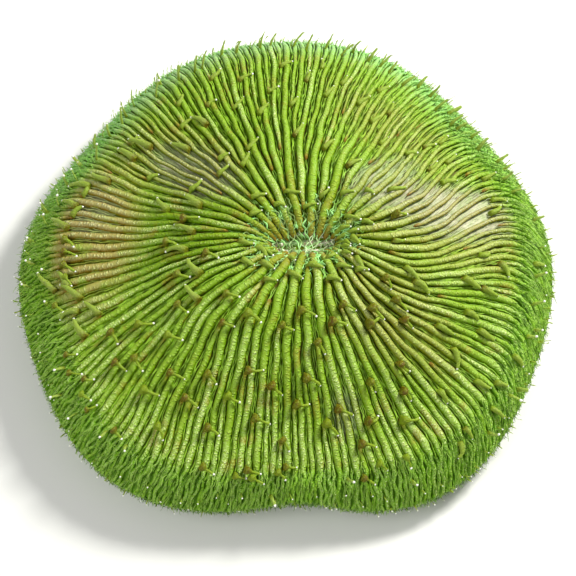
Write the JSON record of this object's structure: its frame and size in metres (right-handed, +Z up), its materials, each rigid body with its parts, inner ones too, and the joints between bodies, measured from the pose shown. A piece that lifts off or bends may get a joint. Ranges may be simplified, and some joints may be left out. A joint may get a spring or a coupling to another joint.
{
  "type": "mushroom coral",
  "caption": "Living mushroom coral: a domed, lobed disc with fine green ridges radiating from a slit mouth, short tentacles among them, and a flat underside.",
  "frame": {"origin": "middle of the outline, seen from above, on the flat underside", "axes": "+Z up out of the disc; -Y towards the near rim with the shallow notch; the mouth slit runs along X"},
  "size_m": [0.1439, 0.1454, 0.0329],
  "materials": {
    "living_tissue": "satin"
  },
  "bodies": {
    "root": {"coral": "living_tissue"}
  },
  "joints": []
}
